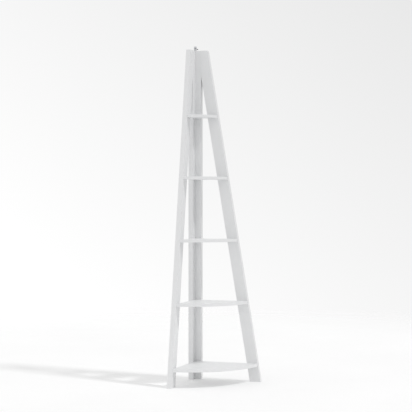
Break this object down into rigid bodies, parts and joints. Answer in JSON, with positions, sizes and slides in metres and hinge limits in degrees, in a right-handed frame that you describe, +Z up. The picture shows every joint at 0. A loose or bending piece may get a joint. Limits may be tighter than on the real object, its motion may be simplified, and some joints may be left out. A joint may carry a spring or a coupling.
{
  "type": "ladder shelf",
  "caption": "Tall corner ladder shelf with slanted legs, an L-shaped corner post, quarter-round shelves that get smaller upwards and a wall bracket on top.",
  "frame": {"origin": "the corner of the room at floor level, which is the outer corner of the post's foot", "axes": "+Z up, +X away from the corner along the right-hand wall, +Y into the right-hand wall, so the left-hand wall is the plane X = 0 and the unit stands at X > 0, Y < 0"},
  "size_m": [0.4, 0.448, 1.828],
  "materials": {
    "white_paint": "satin white paint on medium-density fibreboard, eased edges",
    "beech_dowel": "bare beech",
    "zinc_steel": "bright zinc plate",
    "bracket_steel": "dull zinc-plated sheet steel",
    "dark_steel": "dark phosphated steel"
  },
  "bodies": {
    "root": {"left_leg": "white_paint", "right_leg": "white_paint", "post_left_board": "white_paint", "post_right_board": "white_paint", "shelf_1": "white_paint", "shelf_1_screws": "zinc_steel", "shelf_1_dowels": "beech_dowel", "shelf_2": "white_paint", "shelf_2_screws": "zinc_steel", "shelf_2_dowels": "beech_dowel", "shelf_3": "white_paint", "shelf_3_screws": "zinc_steel", "shelf_3_dowels": "beech_dowel", "shelf_4": "white_paint", "shelf_4_screws": "zinc_steel", "shelf_4_dowels": "beech_dowel", "shelf_5": "white_paint", "shelf_5_screws": "zinc_steel", "shelf_5_dowels": "beech_dowel", "post_screws": "zinc_steel", "left_leg_dowels": "beech_dowel", "right_leg_dowels": "beech_dowel", "wall_bracket": "bracket_steel", "bracket_screw": "zinc_steel", "wall_screw": "dark_steel"}
  },
  "joints": []
}
